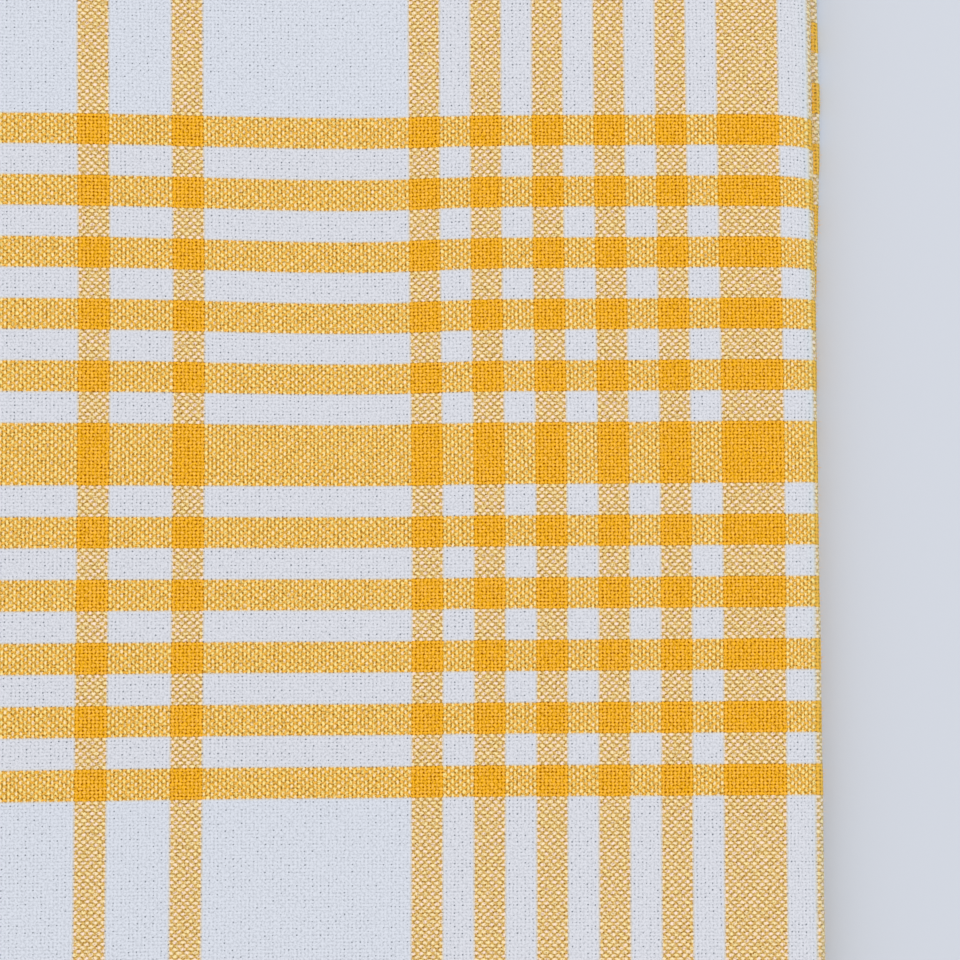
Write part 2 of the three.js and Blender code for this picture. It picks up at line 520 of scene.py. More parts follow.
cells = grid_faces(face_ids)
faces = np.concatenate([cells, grid_faces(back_ids, inside_out=True)])
face_uv = np.stack([ends, picks], -1).reshape(-1, 2)[cells]
back_uv = np.stack([back_ends, back_picks], -1).reshape(-1, 2)[cells[:, ::-1]]
uv = np.concatenate([face_uv, back_uv])
cloth = mesh_object("cloth_sheet", points, faces, "thread_count", uv)
# a number for each point: where the material paints haze, shade and a little sheen on the folds
wear_and_shade_layer = cloth.data.attributes.new("fold_wear_and_painted_shade", "FLOAT", "POINT")
wear_and_shade_layer.data.foreach_set("value", np.concatenate([wear_and_painted_shade.ravel(), wear_and_painted_shade[1:-1, 1:-1].ravel()]))

# %% [markdown]
# ## Thin tubes, many at a time
#
# Thread and fibres are thin tubes: rings carried along a line. There are thousands, so the
# number of the tube is simply one more axis of the arrays, and all are worked out at once.

# %% Tubes
def tube_rings(centre, ahead, up, radius, sides):
    """Rings square to many lines: (tubes, rings, sides, 3). The first side faces up.

    centre, ahead and up are given for each ring, and radius for each ring of any tube."""
    sideways = unit(np.cross(ahead, up))
    out = unit(np.cross(sideways, ahead))
    angle = 2 * np.pi * np.arange(sides)[:, None] / sides
    circle = np.cos(angle) * out[:, :, None, :] + np.sin(angle) * sideways[:, :, None, :]
    return centre[:, :, None, :] + radius[:, None, None] * circle


def tube_faces(tubes, rings, sides):
    """The walls of all tubes, and then their lids, as fans of four-cornered faces."""
    ids = np.arange(tubes * rings * sides).reshape(tubes, rings, sides)
    turned = np.roll(ids, -1, axis=2)
    walls = np.stack([ids[:, :-1], turned[:, :-1], turned[:, 1:], ids[:, 1:]], -1).reshape(-1, 4)
    fan = np.array([[0, side, side + 1, side + 2] for side in range(1, sides - 1, 2)])
    near_lids = ids[:, 0][:, fan[:, ::-1]].reshape(-1, 4)
    far_lids = ids[:, -1][:, fan].reshape(-1, 4)
    return walls, np.concatenate([near_lids, far_lids])


# %% [markdown]
# ## Hem stitching
#
# A lockstitch shows as a row of short stitches on both sides. Each rises out of the cloth
# and dives back in, and the stitch line is one line of our grid.

# %% Stitches along a line of the grid
STITCH_PITCH = 2.8 * MM
STITCH_RADIUS = 0.13 * MM
STITCH_LIFT = 0.07 * MM
STITCH_SLANT = 0.10 * MM
STITCH_SIDES = 6
STITCH_GAP = 0.04  # between a stitch's end and the hole it dives into, as a share of the pitch
RING_PLACES = np.array([0.0, 0.10, 0.32, 0.68, 0.90, 1.0])
RING_SIZES = np.array([0.25, 0.80, 1.0, 1.0, 0.80, 0.25])
stitch_column = int(np.argmin(np.abs(edge_to_edge - STITCH_LINE)))
stitch_row = int(np.argmin(np.abs(from_hem - STITCH_LINE)))


def sampled(line, lengths, places):
    """Points of a polyline at given lengths along it."""
    return np.stack([np.interp(places, lengths, line[:, k]) for k in range(3)], -1)


def stitches(line, up):
    """Rings of every stitch on a line.

    Each ring lies at its share of the stitch, lifted by a half sine of that share."""
    lengths = np.concatenate([[0], np.cumsum(np.linalg.norm(np.diff(line, axis=0), axis=1))])
    count = int(lengths[-1] / STITCH_PITCH)
    pitch = lengths[-1] / count
    shares = STITCH_GAP + (1 - 2 * STITCH_GAP) * RING_PLACES
    places = (np.arange(count)[:, None] + shares) * pitch
    out = unit(sampled(up, lengths, places))
    ahead = sampled(line, lengths, places + 0.1 * MM) - sampled(line, lengths, places - 0.1 * MM)
    lift = STITCH_LIFT * np.sin(np.pi * RING_PLACES) - STITCH_RADIUS / 2
    slant = STITCH_SLANT * (RING_PLACES - 0.5)
    centre = sampled(line, lengths, places) + lift[:, None] * out
    centre += slant[:, None] * unit(np.cross(ahead, out))
    return tube_rings(centre, ahead, out, STITCH_RADIUS * RING_SIZES, STITCH_SIDES)


whole_rows = slice(stitch_row, rows - stitch_row)
whole_columns = slice(stitch_column, columns - stitch_column)
rings = []
for side, direction in ((face, 1), (back, -1)):
    up = direction * normal
    for column in (stitch_column, columns - 1 - stitch_column):
        rings.append(stitches(side[whole_rows, column], up[whole_rows, column]))
    for row in (stitch_row, rows - 1 - stitch_row):
        rings.append(stitches(side[row, whole_columns], up[row, whole_columns]))
rings = np.concatenate(rings)
print(f"{len(rings)} stitches")

# %% Faces of the stitches
walls, lids = tube_faces(*rings.shape[:3])
stitch_faces = np.concatenate([walls, lids])
around = stitch_faces % STITCH_SIDES
around[: len(walls), 1:3] = around[: len(walls), :1] + 1
along_stitch = RING_PLACES[stitch_faces // STITCH_SIDES % len(RING_PLACES)]
stitch_uv = np.stack([around / STITCH_SIDES, along_stitch], -1)
hem_stitches = mesh_object("hem_stitches", rings.reshape(-1, 3), stitch_faces, "thread_run", stitch_uv)

# %% [markdown]
# ## Loose fibres
#
# Cotton is hairy. Against the table, the outside of a fold isn't a sharp line but a thin
# haze of fibres that have come loose from the yarn. Each starts just inside the surface,
# leaves it at a slant of its own and bends as it goes. A seeded generator makes the same
# haze on every run. The fibres carry the thread count of their root, for their colour.

# %% Fibres on the outside of the folds
FIBRES_PER_FOLD = 2500
FIBRE_BAND = (0.15, 0.85)  # the part of a fold's half turn that they grow on
FIBRE_RADIUS = 0.022 * MM
FIBRE_LENGTHS = (0.2 * MM, 0.7 * MM)
FIBRE_ROOT = 0.04 * MM  # how far inside the surface a fibre starts
FIBRE_SLANT = 0.8  # how much a fibre leans, as a share of how much it stands up
FIBRE_BEND = 0.5  # how much it turns from root to tip
FIBRE_SIDES = 4
FIBRE_PLACES = np.array([0.0, 0.5, 1.0])
FIBRE_SIZES = np.array([1.0, 0.9, 0.4])
chance = np.random.default_rng(11)


def on_grid(grid, row, column):
    """Values of a grid between its lines, from the four corners round each place."""
    low_row, low_column = row.astype(int), column.astype(int)
    down, right = (row - low_row)[:, None], (column - low_column)[:, None]
    above = grid[low_row, low_column] * (1 - right) + grid[low_row, low_column + 1] * right
    below = grid[low_row + 1, low_column] * (1 - right) + grid[low_row + 1, low_column + 1] * right
    return above * (1 - down) + below * down


def fibres(skin, up, first_row):
    """Rings of a fold's fibres, and the thread counts at their roots.

    A fibre's line is its length times (share of lean + half the share squared of bend)."""
    row = first_row + FOLD_STEPS * chance.uniform(*FIBRE_BAND, FIBRES_PER_FOLD)
    place = chance.uniform(0, CLOTH_WIDTH, FIBRES_PER_FOLD)
    column = np.interp(place, edge_to_edge, np.arange(columns) - 1e-6).clip(0)
    root_up = unit(on_grid(up, row, column))
    lean = unit(root_up + chance.normal(0, FIBRE_SLANT, root_up.shape))
    bend = chance.normal(0, FIBRE_BEND, root_up.shape)
    length = chance.uniform(*FIBRE_LENGTHS, (FIBRES_PER_FOLD, 1))
    root = on_grid(skin, row, column) - FIBRE_ROOT * root_up
    share = FIBRE_PLACES[:, None]
    centre = root[:, None] + length[:, None] * (share * lean[:, None] + share**2 / 2 * bend[:, None])
    centre[..., 2] = centre[..., 2].clip(FIBRE_RADIUS)
    ahead = lean[:, None] + share * bend[:, None]
    up_each = np.broadcast_to(root_up[:, None], centre.shape)
    counts = on_grid(np.stack([ends, picks], -1), row, column)
    return tube_rings(centre, ahead, up_each, FIBRE_RADIUS * FIBRE_SIZES, FIBRE_SIDES), counts


# %% Grow the fibres
outsides = [(face, normal), (back, -normal), (face, normal)]
grown = [fibres(skin, up, first_row) for (skin, up), first_row in zip(outsides, fold_starts)]
rings = np.concatenate([fold_rings for fold_rings, _ in grown])
root_counts = np.concatenate([counts for _, counts in grown])
fibre_faces = np.concatenate(tube_faces(*rings.shape[:3]))
points_each = len(FIBRE_PLACES) * FIBRE_SIDES
fibre_uv = root_counts[fibre_faces // points_each]
loose_fibres = mesh_object("loose_fibres", rings.reshape(-1, 3), fibre_faces, "thread_count", fibre_uv)

# %% [markdown]
# ## A small language for node trees
#
# A weave is arithmetic, and arithmetic in Math nodes soon becomes hard to read. This little
# class wraps a node's output, so that `a * b + 1` adds the two Math nodes for us. The tree
# that it makes is the same as one wired by hand.

# %% Wire
def operator(operation):
    """A method that adds a Math node with this operation."""
    return lambda self, other: self.math(operation, other)


class Wire:
    """One output in a material's node tree, with arithmetic."""

    def __init__(self, tree, socket):
        self.tree = tree
        self.socket = socket

    def math(self, operation, *others):
        """The outcome of a Math node for this value and the others."""
        node = add_node(self.tree, "Math", self, *others, operation=operation)
        return Wire(self.tree, node.outputs[0])

    __add__ = __radd__ = operator("ADD")
    __sub__ = operator("SUBTRACT")
    __mul__ = __rmul__ = operator("MULTIPLY")
    __truediv__ = operator("DIVIDE")
    __gt__ = operator("GREATER_THAN")
    __lt__ = operator("LESS_THAN")

    def minus_from(self, number):
        """number - self"""
        return self * -1 + number

    def between(self, low, high):
        """1 where the value lies from low up to high, and 0 elsewhere."""
        return (self > low) * (self < high)


# %% Nodes, colours, vectors and noise
def plug(slot, value):
    """Links a Wire to an input, or writes a plain value into it."""
    if isinstance(value, Wire):
        value.tree.links.new(value.socket, slot)
    else:
        slot.default_value = value


def add_node(tree, kind, *values, **settings):
    """A node with its settings, and with Wires or values in its first inputs."""
    node = tree.nodes.new("ShaderNode" + kind)
    for name, setting in settings.items():
        setattr(node, name, setting)
    for slot, value in zip(node.inputs, values):
        plug(slot, value)
    return node


def mixed(share, first, second):
    """A colour between two, by a share from 0 to 1."""
    node = add_node(share.tree, "Mix", data_type="RGBA")
    for slot, value in ((0, share), (6, first), (7, second)):
        plug(node.inputs[slot], value)
    return Wire(share.tree, node.outputs[2])


def vector_of(x, y, z):
    """Three values joined into one vector."""
    return Wire(x.tree, add_node(x.tree, "CombineXYZ", x, y, z).outputs[0])


def parts_of(tree, vector):
    """The three values of an output that holds a vector or a colour."""
    node = add_node(tree, "SeparateXYZ", Wire(tree, vector))
    return [Wire(tree, output) for output in node.outputs]


def noise(x, y, seed=0, dimensions="3D"):
    """Three even noises from about -1 to 1, at a place in a plane."""
    node = add_node(x.tree, "TexNoise", vector_of(x, y, seed), noise_dimensions=dimensions)
    node.inputs["Scale"].default_value = 1
    node.inputs["Detail"].default_value = 1
    return [(part - 0.5) * 2 for part in parts_of(x.tree, node.outputs["Color"])]


# %% A material with plain values, and a bump
BUMP_STRENGTH = 0.5


def dress(piece, name, roughness, specular):
    """Gives a piece a new material, and returns the material's node tree and shader."""
    material = bpy.data.materials.new(name)
    material.use_nodes = True
    piece.data.materials.append(material)
    shader = material.node_tree.nodes["Principled BSDF"]
    shader.inputs["Roughness"].default_value = roughness
    shader.inputs["Specular IOR Level"].default_value = specular
    return material.node_tree, shader


def add_bump(shader, height, depth):
    """Shades as if the surface rose by the height times a depth in metres."""
    bump = add_node(height.tree, "Bump", BUMP_STRENGTH, depth)
    plug(bump.inputs["Height"], height)
    plug(shader.inputs["Normal"], Wire(height.tree, bump.outputs["Normal"]))


def uv_parts(tree, name):
    """The two values of a UV map."""
    return parts_of(tree, add_node(tree, "UVMap", uv_map=name).outputs["UV"])[:2]


# %% [markdown]
# ## The check
#
# Ping-pong turns the count back at the middle of each repeat, which mirrors the check there,
# and the remainder of a division makes the even stripes of a band.

# %% Which yarns are yellow
#   repeat, half a band, a stripe and its gap, a stripe: all counted in yarns
END_CHECK = (314, 88, 16, 8)
PICK_CHECK = (354, 99, 18, 9)


def yarn_kind(number, check):
    """Whether a yarn is yellow, and whether it belongs to a band, as 1 or 0.

    Every other stripe of a band is yellow, and so is a lone pair between bands."""
    repeat, band, pitch, stripe = check
    distance = (number + 0.5).math("PINGPONG", repeat / 2)
    in_band = distance < band
    striped = in_band * (distance.math("MODULO", pitch) < stripe)
    lone = distance.minus_from(repeat / 2).between(stripe, pitch)
    return striped.math("MAXIMUM", lone), in_band


across_check = np.array([END_CHECK[0] * END_SPACING, PICK_CHECK[0] * PICK_SPACING]) / MM
print(f"the check repeats every {across_check[0]:.0f} mm by {across_check[1]:.0f} mm")

# %% [markdown]
# ## Two sets of ridges
#
# In a plain weave each end passes over one pick and under the next. Seen from above, an
# end is a ridge whose height rises and falls along its length, and so is a pick, half a
# step out of time. Whichever ridge is higher at a point is the one we see there. That one
# comparison draws the long and short floats, and it makes the stripes look right: white
# floats stand on yellow where a stripe crosses the plain ground, and only where two stripes
# cross is the cloth yellow all over. Bleached yarn is softer than dyed, and stands fuller.
# Each yarn wanders and swells along its length by noise of its own, as loose cotton does.

# %% Shape of the yarns, in shares of their spacing
END_WAVE, PICK_WAVE = 0.27, 0.30  # how far they rise and fall
END_RIDGE, PICK_RIDGE = 0.70, 0.72  # how high their round backs are
END_HALF, PICK_HALF = 0.31, 0.46  # half widths
END_TILT, PICK_TILT = 0.15, 0.40  # how far a float may lean to one side
FLOAT_BULGE = 0.20  # how much fuller a yarn is where it lies on top
BESIDE_DROP = 0.25  # how far the height drops beside a yarn
FULLER = 0.32  # how much higher bleached yarn stands than dyed
YELLOW_THINNER = 0.17  # how much narrower a dyed pick is between white ends

WANDER, SWELL, TONE = 0.15, 0.08, 0.03  # how uneven the yarns are along their length
LOT_WIDTH, LOT_TONE = 0.28, 0.08  # how much one crossing differs from the next
RAGGED, FIBRE_TONE = 0.22, 1.10  # how far loose fibres blur the yarns' edges and tone
FIBRE_GRAIN = (1.9, 1.7)  # noise cells to a yarn
APART, ALONG = 3.71, 0.35  # steps in the noise from one yarn to the next and along it
END_SEED, PICK_SEED = 0.3, 7.9


def yarn_height(beside, along, over, wave, ridge, half):
    """A ridge that rises and falls: wave x over x cos(pi along), plus a round back.

    The yarn is fuller by FLOAT_BULGE where it lies on top, and pinched where it dives."""
    rise = (along * math.pi).math("COSINE") * over
    inside = (beside / (half * (rise * FLOAT_BULGE + 1))).math("POWER", 2).minus_from(1)
    back = inside.math("MAXIMUM", 0).math("SQRT") * ridge - (inside < 0) * BESIDE_DROP
    return rise * wave + back


def uneven(number, along, seed):
    """Each yarn's own wander, swell and tone along its length."""
    wander, swell, tone = noise(number * APART, along * ALONG, seed)
    return wander * WANDER, swell * SWELL, tone * TONE


def chances(x, y):
    """Three even chances from -0.5 to 0.5, new ones for each whole x and y."""
    node = add_node(x.tree, "TexWhiteNoise", vector_of(x, y, 0), noise_dimensions="2D")
    return [part - 0.5 for part in parts_of(x.tree, node.outputs["Color"])]


def pick_side(end_shows, of_end, of_pick):
    """The end's value where the end shows, and the pick's elsewhere."""
    return of_pick + end_shows * (of_end - of_pick)


# %% Where a point lies among the yarns
def find_crossing(tree):
    """The end and pick that cross nearest a point, how far it is from their middles, and
    which of them and of the next ones are yellow. All of it is kept under one name."""
    at = SimpleNamespace()
    at.end_place, at.pick_place = uv_parts(tree, "thread_count")
    at.end, at.pick = at.end_place.math("FLOOR"), at.pick_place.math("FLOOR")
    grain_x, grain_y = at.end_place * FIBRE_GRAIN[0], at.pick_place * FIBRE_GRAIN[1]
    ragged_end, ragged_pick, at.fibres = noise(grain_x, grain_y, dimensions="2D")
    at.in_end = at.end_place - at.end - 0.5 + ragged_end * RAGGED
    at.in_pick = at.pick_place - at.pick - 0.5 + ragged_pick * RAGGED

    at.yellow_end, band_end = yarn_kind(at.end, END_CHECK)
    at.yellow_pick, band_pick = yarn_kind(at.pick, PICK_CHECK)
    at.next_end_yellow, _ = yarn_kind(at.end + at.in_end.math("SIGN"), END_CHECK)
    at.next_pick_yellow, _ = yarn_kind(at.pick + at.in_pick.math("SIGN"), PICK_CHECK)
    at.in_check = band_end.math("MAXIMUM", band_pick)
    at.all_yellow = at.yellow_end * at.yellow_pick
    return at


# %% The two ridges, compared
def raise_yarns(at):
    """Adds the height, which yarn shows, how deep the point lies on it, and its tone."""
    end_over = (at.end + at.pick).math("FLOORED_MODULO", 2) * 2 - 1
    end_wander, end_swell, end_tone = uneven(at.end, at.pick_place, END_SEED)
    pick_wander, pick_swell, pick_tone = uneven(at.pick, at.end_place, PICK_SEED)
    lot_width, lot_tone, at.lot_hue = chances(at.end, at.pick)
    tilt = at.lot_hue - lot_tone
    end_half = (end_swell + lot_width * LOT_WIDTH) * END_HALF + END_HALF
    pick_half = (pick_swell - lot_width * LOT_WIDTH) * PICK_HALF + PICK_HALF
    between_white = at.yellow_pick * at.yellow_end.minus_from(1)
    pick_half = pick_half * (between_white * -YELLOW_THINNER + 1)

    end_height = yarn_height(
        at.in_end + end_wander + at.in_pick * tilt * END_TILT,
        at.in_pick, end_over, END_WAVE, END_RIDGE, end_half)
    pick_height = yarn_height(
        at.in_pick + pick_wander + at.in_end * tilt * PICK_TILT,
        at.in_end, end_over * -1, PICK_WAVE, PICK_RIDGE, pick_half)
    end_height = end_height - at.yellow_end * FULLER
    pick_height = pick_height - at.yellow_pick * FULLER
    at.end_shows = end_height > pick_height
    at.higher_by = end_height - pick_height
    at.height = end_height.math("MAXIMUM", pick_height)

    top = at.yellow_end.math("MINIMUM", at.yellow_pick) * -FULLER + PICK_WAVE + PICK_RIDGE
    at.depth = (at.height / top).minus_from(1).math("MAXIMUM", 0)
    at.is_yellow = pick_side(at.end_shows, at.yellow_end, at.yellow_pick)
    tone = pick_side(at.end_shows, end_tone, pick_tone)
    at.tone = tone + lot_tone * LOT_TONE + at.fibres * FIBRE_TONE


# %% [markdown]
# ## Colour of the yarns, with painted bounce light and shade
#
# Only two yarns are woven, but each takes colour from its neighbours, because light goes from
# yarn to yarn in the small hollows between them. White floats between yellow yarns turn cream
# on top and golden on their sides, white squares are a little warmer than the plain ground,
# and yellow looks deepest where yellow lies on yellow. Real bounces can't do this for us, as
# the yarns are drawn on a smooth skin, so we choose the colours for each case. They are painted
# bounce light, and the darker flanks and the dull yellow under fuller white yarn are painted shade.

# %% Colours
WHITE = (0.706, 0.740, 0.821, 1)
CHECK_WHITE = (0.722, 0.736, 0.799, 1)  # the white squares, with painted light bounced from the yellow round them
WARM_WHITE = (0.730, 0.645, 0.503, 1)  # painted light bounced from a yellow yarn on the white yarn right beside it
PINK_CREAM = (1.00, 0.800, 0.690, 1)  # painted bounce light: the tops of white floats between yellow yarns
WARM_CREAM = (1.00, 0.825, 0.370, 1)
EDGE_CREAM = (0.77, 0.540, 0.155, 1)  # painted shade and bounce light on their flanks: first a pick's, then an end's
WARM_EDGE = (0.90, 0.590, 0.110, 1)
YELLOW = (1.00, 0.535, 0.100, 1)
ORANGE = (0.98, 0.492, 0.042, 1)
DEEP_YELLOW = (0.97, 0.480, 0.000, 1)  # low on a yellow yarn, lit only by yellow yarns beside it
YELLOW_IN_WHITE_SHADE = (0.75, 0.465, 0.135, 1)  # painted shade: yellow yarn where it lies under fuller white yarn

CREAM_SHARE, END_WARMER = 0.30, 0.58  # how warm the tops are, and how much more on ends
FLANK = 1.5  # how soon, going down a yarn, its top turns into its flank of painted shade
GLOW = 1.7  # how far painted light bounced from a yellow yarn reaches over the white one beside it
FLOAT_TIP, TIP_OPEN = 0.22, 0.45  # where a float's tip begins, and how much of it stays white
BRIGHT_PICK = 0.85  # how much of a yellow pick's own colour shows under white ends; the rest is painted shade


def colour_yarns(at):
    """The colour of the yarn that shows: plain white, white beside yellow, or dyed, with painted
    bounce light from yellow yarn and painted shade on the flanks and under white yarn.
    """
    off_end, off_pick = at.in_end.math("ABSOLUTE"), at.in_pick.math("ABSOLUTE")
    tip_open = pick_side(
        at.end_shows,
        (off_pick > FLOAT_TIP) * at.next_pick_yellow.minus_from(1),
        (off_end > FLOAT_TIP) * at.next_end_yellow.minus_from(1))
    tip_open = tip_open * at.is_yellow.minus_from(1) * TIP_OPEN
    some_yellow = at.yellow_end.math("MAXIMUM", at.yellow_pick)
    at.beside_yellow = some_yellow * tip_open.minus_from(1)

    near_yellow = (off_end * at.next_end_yellow).math("MAXIMUM", off_pick * at.next_pick_yellow)
    # painted bounce light: white yarn warmer in the check and beside yellow yarn
    ground = mixed(at.in_check, WHITE, CHECK_WHITE)
    ground = mixed(near_yellow * GLOW, ground, WARM_WHITE)
    # painted shade: lower on a yarn, its colour turns to the darker flank colours
    flank = (at.depth * FLANK).math("MINIMUM", 1)
    top_warmth = at.lot_hue + at.end_shows * END_WARMER + CREAM_SHARE
    cream = mixed(top_warmth, PINK_CREAM, WARM_CREAM)
    cream = mixed(flank, cream, mixed(at.end_shows, EDGE_CREAM, WARM_EDGE))
    white = mixed(at.beside_yellow, ground, cream)

    bright = mixed(at.lot_hue + 0.5, ORANGE, YELLOW)
    brightness = at.yellow_pick * BRIGHT_PICK + at.all_yellow * (1 - BRIGHT_PICK)
    # painted shade: yellow dulled where fuller white yarn lies over it, and deepened low on its flanks
    yellow_with_painted_shade = mixed(brightness, YELLOW_IN_WHITE_SHADE, bright)
    yellow_with_painted_shade = mixed(flank * at.all_yellow, yellow_with_painted_shade, DEEP_YELLOW)
    return mixed(at.is_yellow, white, yellow_with_painted_shade)


# %% [markdown]
# ## Shade between the yarns
#
# Sides and hollows are darker than the tops, and where four yarns meet there is a small hole.
# The yarns lie in pairs, as the reed of the loom left them, so one corner in four is open much
# more often than the rest. Each strength below has one number for plain white cloth and three
# that are added for the kinds of crossing.

# %% Strengths of the shade
SHADE_WHITE = (0.20, 0.22, 0.26, 1)
SHADE_YELLOW = (0.28, 0.070, 0.000, 1)
SHADE_MIXED = (0.30, 0.130, 0.008, 1)
#   plain, added beside yellow, on yellow, yellow on yellow
VALLEY = (0.13, 0.08, 0.31, -0.09)  # low on a yarn
CREASE = (0.04, 0.25, 0, 0)  # on the line where one yarn passes another
TONE_SHOWS = (0.35, 0.60, 0, -0.35)  # how much of a yarn's own tone is seen
VALLEY_POWER = 1.4
CREASE_WIDTH = 0.10  # in height
DULLNESS = 0.05  # how far a yarn of middling tone is from the lightest
HOLE_STRAY = 0.25  # how far a hole may be off its corner
HOLE_SIZE = (0.12, 0.135)  # half width between ends, and between picks
RARE_HOLE, PAIRED_HOLE = 0.6, 3.4  # strength at any corner, and what a paired one adds
SHUT_HOLE, PAIRED_SHUT, SHUT_VARIES = 0.40, 0.30, 0.60
GROUND_HOLES, CHECK_HOLES = 1.1, 0.9  # how dark in plain ground, and what the check adds


# %% Holes and shade
def even(number):
    """1 for an even whole number and 0 for an odd one."""
    return (number + 1).math("FLOORED_MODULO", 2)


def holes(at):
    """Two shades at the corners where four yarns meet: a rare, open hole and a common,
    nearly shut one."""
    end_line, pick_line = at.end_place.math("ROUND"), at.pick_place.math("ROUND")
    left, up, size = chances(end_line, pick_line)
    aside = ((at.end_place - end_line + left * HOLE_STRAY) / HOLE_SIZE[0]).math("POWER", 2)
    above = ((at.pick_place - pick_line + up * HOLE_STRAY) / HOLE_SIZE[1]).math("POWER", 2)
    spot = (aside + above).math("MULTIPLY", -1).math("EXPONENT")
    paired = even(end_line + 1) * even(pick_line)
    rare = (size + 0.5).math("POWER", 3) * (paired * PAIRED_HOLE + RARE_HOLE)
    return spot * rare, spot * (size * SHUT_VARIES + paired * PAIRED_SHUT + SHUT_HOLE)


def strength(at, kinds):
    """The sum of a row of four numbers, each where its kind of crossing is."""
    plain, beside, on_yellow, both = kinds
    return at.beside_yellow * beside + at.is_yellow * on_yellow + at.all_yellow * both + plain


def shade_yarns(at, yarn):
    """The yarn's colour, darkened low on it, in creases and holes, and by its tone."""
    rare, common = holes(at)
    valley = at.depth.math("POWER", VALLEY_POWER) * strength(at, VALLEY)
    gap = rare * (at.in_check * CHECK_HOLES + GROUND_HOLES) + at.all_yellow * common
    edge = (at.higher_by / CREASE_WIDTH).math("POWER", 2) * -1
    crease = edge.math("EXPONENT") * strength(at, CREASE)
    share = valley + gap + crease + at.tone * strength(at, TONE_SHOWS) + DULLNESS
    dyed_shade = mixed(at.all_yellow, SHADE_MIXED, SHADE_YELLOW)
    shade = mixed(at.beside_yellow, SHADE_WHITE, dyed_shade)
    return mixed(share.math("MINIMUM", 1).math("MAXIMUM", 0), yarn, shade)


# %% [markdown]
# ## The woven cotton
#
# Now the parts come together. On the folds the haze of fibres that the wear has raised veils
# the yarns, pale over white picks and olive over yellow ones; the veil is also painted shade
# and a little painted sheen of the fold's turned side. The height of the ridges also drives a
# bump: at this size the yarns stand up by a tenth of a millimetre, which would take millions
# of faces to build.

# %% The woven cotton
RELIEF = 0.12 * MM
VEIL_AND_SHADE = 0.32  # how much the haze and painted shade hide on the middle of a fold
# painted shade and a little painted sheen, with the haze of rubbed fibres: pale over white picks,
# olive over yellow
PALE_HAZE_AND_SHADE = (0.30, 0.52, 0.50, 1)
YELLOW_HAZE_AND_SHADE = (0.28, 0.50, 0.20, 1)


def veil_and_shade_folds(at, colour):
    """The colour, veiled by haze, painted shade and a little painted sheen, as far as the sheet's
    number for worn folds says.
    """
    on_fold = add_node(colour.tree, "Attribute", attribute_name="fold_wear_and_painted_shade")
    haze_and_shade = mixed(at.yellow_pick, PALE_HAZE_AND_SHADE, YELLOW_HAZE_AND_SHADE)
    return mixed(Wire(colour.tree, on_fold.outputs["Fac"]) * VEIL_AND_SHADE, colour, haze_and_shade)


tree, shader = dress(cloth, "woven_check_cotton", roughness=0.95, specular=0.03)
at = find_crossing(tree)
raise_yarns(at)
plug(shader.inputs["Base Color"], veil_and_shade_folds(at, shade_yarns(at, colour_yarns(at))))
add_bump(shader, at.height, RELIEF)
print(f"woven cotton: {len(tree.nodes)} nodes")

# %% The loose fibres' cotton
FIBRE_DYE = 0.45  # how yellow a fibre is for each yellow yarn that passes its root
tree, shader = dress(loose_fibres, "loose_cotton", roughness=0.8, specular=0.2)
end_place, pick_place = uv_parts(tree, "thread_count")
yellow_end, _ = yarn_kind(end_place.math("FLOOR"), END_CHECK)
yellow_pick, _ = yarn_kind(pick_place.math("FLOOR"), PICK_CHECK)
plug(shader.inputs["Base Color"], mixed((yellow_end + yellow_pick) * FIBRE_DYE, WHITE, YELLOW))
print(f"loose cotton: {len(tree.nodes)} nodes")

# %% [markdown]
# ## Sewing thread
#
# The hems are sewn with plain white thread of two plies. A slanted wave over each stitch's
# own UV map gives the twist, as a bump and as painted shade between the plies.

# %% Sewing thread
PLY_SHADE, PLY_TOP = (0.60, 0.61, 0.64, 1), (0.78, 0.79, 0.82, 1)
PLY_RELIEF = 0.04 * MM
TURNS_ROUND, TURNS_ALONG = 2, 7  # waves round a stitch and along it
tree, shader = dress(hem_stitches, "sewing_thread", roughness=0.6, specular=0.3)
round_stitch, along_stitch = uv_parts(tree, "thread_run")
turns = round_stitch * TURNS_ROUND + along_stitch * TURNS_ALONG
ply = (turns * (2 * math.pi)).math("SINE") * 0.5 + 0.5
plug(shader.inputs["Base Color"], mixed(ply, PLY_SHADE, PLY_TOP))
add_bump(shader, ply, PLY_RELIEF)
print(f"sewing thread: {len(tree.nodes)} nodes")

# %% [markdown]
# ## Table, light and view
#
# The cloth lies on a plain, pale, faintly blue table. An even world lights it from all
# round, which is what a bright cloudy day does, and one large lamp adds a little direction.
# Together they come to about one, so a colour renders nearly as it is written. Past the
# table's edge the camera sees the table's colour instead of the sky: the Light Path node
# tells the world what kind of ray has reached it.

# %% Table top
TABLE_COLOUR = (0.630, 0.663, 0.735, 1)
TABLE_REACH = 3.0  # from its middle to its sides
TABLE_DROP = 0.02 * MM  # how far it lies under the cloth's lowest point
plan = TABLE_REACH * np.array([(-1, -1), (1, -1), (1, 1), (-1, 1)])
corners = np.column_stack([plan, np.full(4, -TABLE_DROP)])
floor = mesh_object("table_top", corners, np.array([[0, 1, 2, 3]]), "plan", plan)
_, shader = dress(floor, "pale_table", roughness=0.9, specular=0.1)
plug(shader.inputs["Base Color"], TABLE_COLOUR)

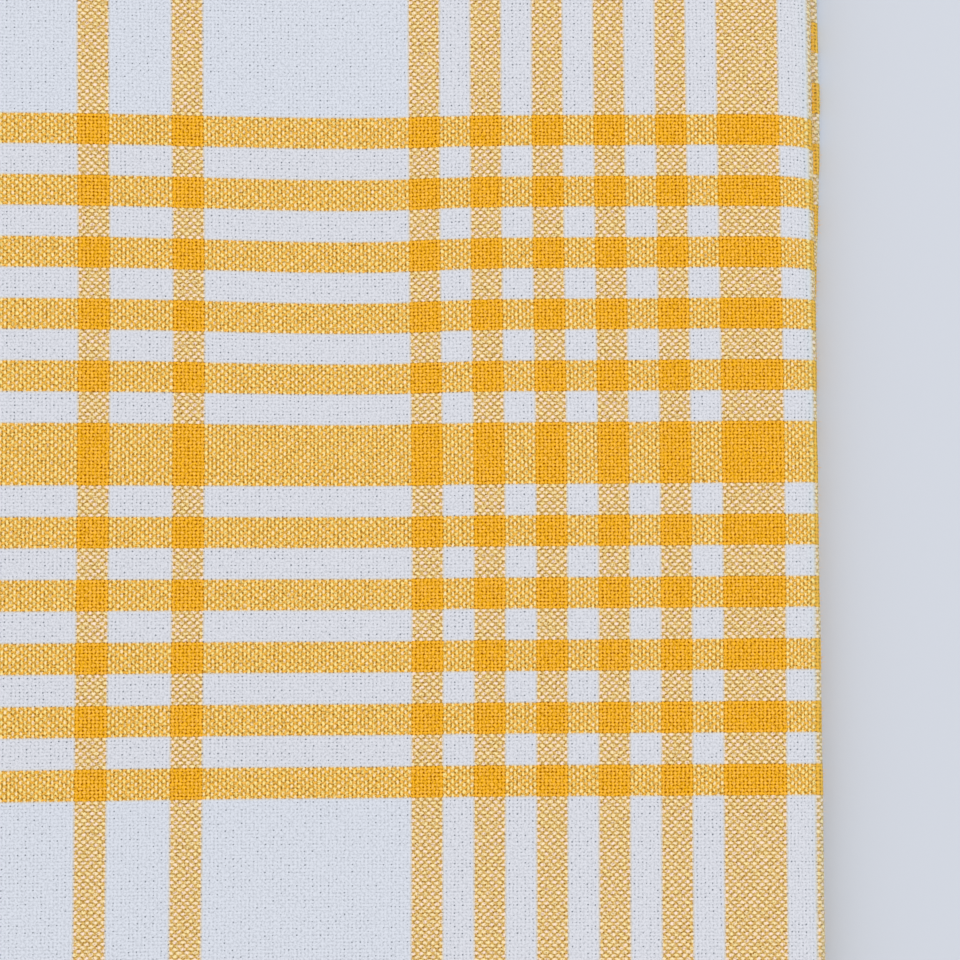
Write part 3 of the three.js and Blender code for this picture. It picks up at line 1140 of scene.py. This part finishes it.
# %% World
DAYLIGHT = 0.86
DISTANCE_LIGHT = 0.87  # as dark as the table looks far away
world = bpy.data.worlds.new("cloudy_day")
bpy.context.scene.world = world
world.use_nodes = True
sky_tree = world.node_tree
daylight = sky_tree.nodes["Background"]
plug(daylight.inputs["Color"], (1, 1, 1, 1))
plug(daylight.inputs["Strength"], DAYLIGHT)
distance = add_node(sky_tree, "Background", TABLE_COLOUR, DISTANCE_LIGHT)
path = add_node(sky_tree, "LightPath")
seen, glossy, through = (
    Wire(sky_tree, path.outputs[name])
    for name in ("Is Camera Ray", "Is Glossy Ray", "Is Transmission Ray"))
is_looked_at = seen.math("MAXIMUM", glossy).math("MAXIMUM", through)
lights = [Wire(sky_tree, background.outputs[0]) for background in (daylight, distance)]
choice = add_node(sky_tree, "MixShader", is_looked_at, *lights)
plug(sky_tree.nodes["World Output"].inputs["Surface"], Wire(sky_tree, choice.outputs[0]))
print("even light from all round, strength", DAYLIGHT)

# %% Lamp
lamp_data = bpy.data.lights.new("window", "AREA")
lamp_data.shape = "RECTANGLE"
lamp_data.size = 1.6
lamp_data.size_y = 1.2
lamp_data.energy = 9
lamp = placed("window", lamp_data)
lamp.location = (0.9, 0.6, 1.5)
lamp.rotation_euler = lamp.location.to_track_quat("Z", "Y").to_euler()
print(f"lamp of {lamp_data.energy:.0f} W, {lamp.location.length:.2f} m away")

# %% [markdown]
# The camera stands nearly above the right-hand folds, close enough to see the yarns. We
# place it by what it looks at: a point of the top layer, a distance and a steep angle.

# %% Camera
VIEW_INSIDE = 47.05 * MM  # from the right edge of the pile to the middle of the view
VIEW_ALONG = -66.3 * MM  # from the middle of the cloth, along the folds
VIEW_HEIGHT = 4.8 * MM
VIEW_DISTANCE = 0.65
VIEW_LENS = 175.8
VIEW_ELEVATION = math.radians(83.8)
VIEW_ROLL = math.radians(-0.27)

target = Vector((
    PACKET_WIDTH / 2 + CLOTH_THICKNESS / 2 - VIEW_INSIDE + shift[0],
    VIEW_ALONG + shift[1],
    VIEW_HEIGHT,
))
towards_eye = Vector((0, -math.cos(VIEW_ELEVATION), math.sin(VIEW_ELEVATION)))
camera_data = bpy.data.cameras.new("camera")
camera_data.sensor_width = 36
camera_data.lens = VIEW_LENS
camera_data.clip_start = 0.01
camera = placed("camera", camera_data)
turn = towards_eye.to_track_quat("Z", "Y").to_matrix() @ Matrix.Rotation(VIEW_ROLL, 3, "Z")
camera.rotation_euler = turn.to_euler()
camera.location = target + VIEW_DISTANCE * towards_eye
bpy.context.scene.camera = camera
bpy.context.scene.view_settings.view_transform = "Standard"
print("the camera stands at, m:", np.round(camera.location, 3))

# %% [markdown]
# ## Handing the pieces over
#
# The sheet stands for the imported cloth, and the stitches and fibres go with it.

for piece in (cloth, hem_stitches, loose_fibres):
    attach(piece, "root")
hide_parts("tablecloth")
